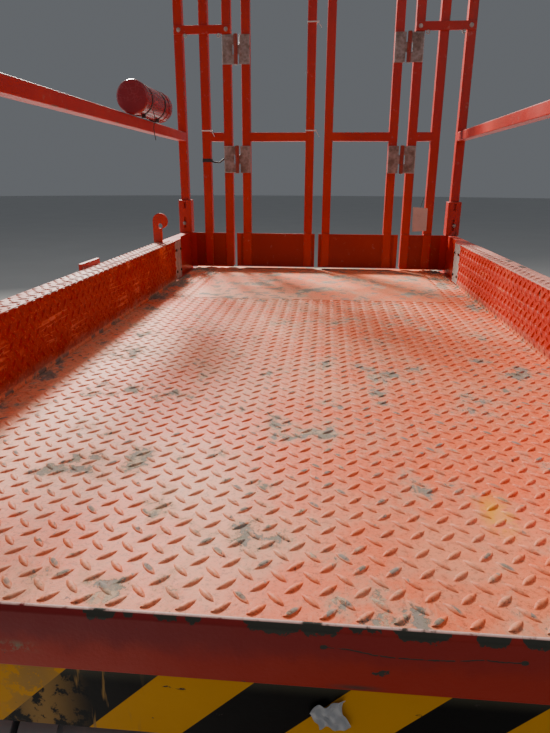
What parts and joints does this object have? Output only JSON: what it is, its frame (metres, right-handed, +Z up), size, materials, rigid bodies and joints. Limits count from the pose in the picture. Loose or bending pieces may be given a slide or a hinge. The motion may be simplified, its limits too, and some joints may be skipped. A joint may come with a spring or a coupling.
{
  "type": "slab scissor lift",
  "caption": "Self-propelled slab scissor lift, stowed: worn tread-plate deck with toe walls and tube guard rails, double swing gates, stacked scissor arms, steerable chassis.",
  "frame": {"origin": "on the floor under the middle of the machine", "axes": "+X to the right and +Y along the deck from its open near gate to its closed far gate, +Z up"},
  "size_m": [1.22, 2.48, 2.4174],
  "materials": {
    "deck_paint": "worn matt paint on tread plate",
    "red_paint": "satin",
    "grey_paint": "satin",
    "black_paint": "satin",
    "chrome_rod": "polished",
    "roller_nylon": "matt",
    "tyre_rubber": "solid rubber",
    "rim_paint": "satin",
    "red_plastic": "gloss",
    "grey_plastic": "matt"
  },
  "bodies": {
    "chassis": {"chassis_frame": "red_paint", "bumper_near": "red_paint", "bumper_far": "red_paint", "front_axle": "red_paint", "tie_down_lugs": "red_paint", "lower_tracks": "red_paint", "base_brackets": "red_paint", "drive_motors": "black_paint", "ladder": "red_paint", "pothole_guards": "red_paint", "tray_outriggers": "red_paint"},
    "knuckle_right": {"knuckle_right": "black_paint"},
    "knuckle_left": {"knuckle_left": "black_paint"},
    "steer_link": {"steer_link": "black_paint"},
    "wheel_near_right": {"tyre_near_right": "tyre_rubber", "rim_near_right": "rim_paint"},
    "wheel_near_left": {"tyre_near_left": "tyre_rubber", "rim_near_left": "rim_paint"},
    "wheel_far_right": {"tyre_far_right": "tyre_rubber", "rim_far_right": "rim_paint"},
    "wheel_far_left": {"tyre_far_left": "tyre_rubber", "rim_far_left": "rim_paint"},
    "tray_right": {"tray_right": "red_paint", "battery_pack": "black_paint"},
    "tray_left": {"tray_left": "red_paint", "hydraulic_unit": "black_paint"},
    "outer_1": {"outer_arms_1": "grey_paint"},
    "inner_1": {"inner_arms_1": "grey_paint", "lower_rollers": "roller_nylon"},
    "outer_2": {"outer_arms_2": "grey_paint"},
    "inner_2": {"inner_arms_2": "grey_paint"},
    "outer_3": {"outer_arms_3": "grey_paint"},
    "inner_3": {"inner_arms_3": "grey_paint"},
    "outer_4": {"outer_arms_4": "grey_paint"},
    "inner_4": {"inner_arms_4": "grey_paint"},
    "outer_5": {"outer_arms_5": "grey_paint", "upper_rollers": "roller_nylon"},
    "inner_5": {"inner_arms_5": "grey_paint"},
    "barrel": {"cylinder_barrel": "black_paint"},
    "rod": {"cylinder_rod": "chrome_rod"},
    "platform": {"deck": "deck_paint", "platform_frame": "red_paint", "upper_tracks": "red_paint", "top_brackets": "red_paint", "rail_right": "red_paint", "rail_left": "red_paint", "far_panels": "red_paint", "near_panels": "red_paint", "canister": "red_plastic", "control_box": "grey_plastic"},
    "far_right_gate": {"far_right_gate": "red_paint"},
    "far_left_gate": {"far_left_gate": "red_paint"},
    "near_right_gate": {"near_right_gate": "red_paint"},
    "near_left_gate": {"near_left_gate": "red_paint"}
  },
  "joints": [
    {"name": "lift", "type": "hinge", "parent": "chassis", "child": "outer_1", "pos_m": [0, 1.004, 0.43], "axis": [-1, 0, 0], "range_deg": [0, 57.9]},
    {"name": "inner_1_centre", "type": "hinge", "parent": "outer_1", "child": "inner_1", "pos_m": [0, -0.00039, 0.5025], "axis": [1, 0, 0], "range_deg": [0, 116]},
    {"name": "inner_2_end", "type": "hinge", "parent": "outer_1", "child": "inner_2", "pos_m": [0, -1.00477, 0.575], "axis": [1, 0, 0], "range_deg": [0, 116]},
    {"name": "outer_2_centre", "type": "hinge", "parent": "inner_2", "child": "outer_2", "pos_m": [0, -0.00039, 0.6475], "axis": [-1, 0, 0], "range_deg": [0, 116]},
    {"name": "outer_3_end", "type": "hinge", "parent": "inner_2", "child": "outer_3", "pos_m": [0, 1.004, 0.72], "axis": [-1, 0, 0], "range_deg": [0, 116]},
    {"name": "inner_3_centre", "type": "hinge", "parent": "outer_3", "child": "inner_3", "pos_m": [0, -0.00039, 0.7925], "axis": [1, 0, 0], "range_deg": [0, 116]},
    {"name": "inner_4_end", "type": "hinge", "parent": "outer_3", "child": "inner_4", "pos_m": [0, -1.00477, 0.865], "axis": [1, 0, 0], "range_deg": [0, 116]},
    {"name": "outer_4_centre", "type": "hinge", "parent": "inner_4", "child": "outer_4", "pos_m": [0, -0.00039, 0.9375], "axis": [-1, 0, 0], "range_deg": [0, 116]},
    {"name": "outer_5_end", "type": "hinge", "parent": "inner_4", "child": "outer_5", "pos_m": [0, 1.004, 1.01], "axis": [-1, 0, 0], "range_deg": [0, 116]},
    {"name": "inner_5_centre", "type": "hinge", "parent": "outer_5", "child": "inner_5", "pos_m": [0, -0.00039, 1.0825], "axis": [1, 0, 0], "range_deg": [0, 116]},
    {"name": "platform_level", "type": "hinge", "parent": "inner_5", "child": "platform", "pos_m": [0, 1.004, 1.155], "axis": [-1, 0, 0], "range_deg": [0, 58]},
    {"name": "cylinder_swing", "type": "hinge", "parent": "inner_2", "child": "barrel", "pos_m": [0, 0.40538, 0.67679], "axis": [-1, 0, 0], "range_deg": [0, 126.8]},
    {"name": "cylinder_stroke", "type": "slide", "parent": "barrel", "child": "rod", "axis": [0, -0.9947, 0.1025], "range_m": [0, 0.2667]},
    {"name": "steer", "type": "hinge", "parent": "chassis", "child": "knuckle_right", "pos_m": [0.415, 0.915, 0.203], "axis": [0, 0, 1], "range_deg": [-35, 35]},
    {"name": "steer_left", "type": "hinge", "parent": "chassis", "child": "knuckle_left", "pos_m": [-0.415, 0.915, 0.203], "axis": [0, 0, 1], "range_deg": [-35.1, 35.1]},
    {"name": "steer_link_slide", "type": "slide", "parent": "chassis", "child": "steer_link", "axis": [1, 0, 0], "range_m": [-0.052, 0.052]},
    {"name": "roll_near_right", "type": "hinge", "parent": "chassis", "child": "wheel_near_right", "pos_m": [0.513, -0.915, 0.203], "axis": [1, 0, 0], "continuous": true},
    {"name": "roll_near_left", "type": "hinge", "parent": "chassis", "child": "wheel_near_left", "pos_m": [-0.513, -0.915, 0.203], "axis": [1, 0, 0], "continuous": true},
    {"name": "roll_far_right", "type": "hinge", "parent": "knuckle_right", "child": "wheel_far_right", "pos_m": [0.513, 0.915, 0.203], "axis": [1, 0, 0], "continuous": true},
    {"name": "roll_far_left", "type": "hinge", "parent": "knuckle_left", "child": "wheel_far_left", "pos_m": [-0.513, 0.915, 0.203], "axis": [1, 0, 0], "continuous": true},
    {"name": "tray_right_swing", "type": "hinge", "parent": "chassis", "child": "tray_right", "pos_m": [0.569, 0.619, 0.265], "axis": [0, 0, 1], "range_deg": [0, 90]},
    {"name": "tray_left_swing", "type": "hinge", "parent": "chassis", "child": "tray_left", "pos_m": [-0.569, 0.619, 0.265], "axis": [0, 0, -1], "range_deg": [0, 90]},
    {"name": "far_right_swing", "type": "hinge", "parent": "platform", "child": "far_right_gate", "pos_m": [0.346, 1.0405, 1.85875], "axis": [0, 0, 1], "range_deg": [0, 115]},
    {"name": "far_left_swing", "type": "hinge", "parent": "platform", "child": "far_left_gate", "pos_m": [-0.346, 1.0405, 1.85875], "axis": [0, 0, -1], "range_deg": [0, 115]},
    {"name": "near_right_swing", "type": "hinge", "parent": "platform", "child": "near_right_gate", "pos_m": [0.346, -1.0405, 1.85875], "axis": [0, 0, 1], "range_deg": [0, 120]},
    {"name": "near_left_swing", "type": "hinge", "parent": "platform", "child": "near_left_gate", "pos_m": [-0.346, -1.0405, 1.85875], "axis": [0, 0, -1], "range_deg": [0, 120]}
  ],
  "couplings": [
    {"joint": "inner_1_centre", "follows": "lift", "ratio": 2},
    {"joint": "inner_2_end", "follows": "lift", "ratio": 2},
    {"joint": "outer_2_centre", "follows": "lift", "ratio": 2},
    {"joint": "outer_3_end", "follows": "lift", "ratio": 2},
    {"joint": "inner_3_centre", "follows": "lift", "ratio": 2},
    {"joint": "inner_4_end", "follows": "lift", "ratio": 2},
    {"joint": "outer_4_centre", "follows": "lift", "ratio": 2},
    {"joint": "outer_5_end", "follows": "lift", "ratio": 2},
    {"joint": "inner_5_centre", "follows": "lift", "ratio": 2},
    {"joint": "platform_level", "follows": "lift", "ratio": 1},
    {"joint": "cylinder_swing", "follows": "lift", "ratio": 2.1848},
    {"joint": "cylinder_stroke", "follows": "lift", "m_per_rad": 0.26288},
    {"joint": "steer_left", "follows": "steer", "ratio": 1},
    {"joint": "steer_link_slide", "follows": "steer", "m_per_rad": 0.084506}
  ]
}
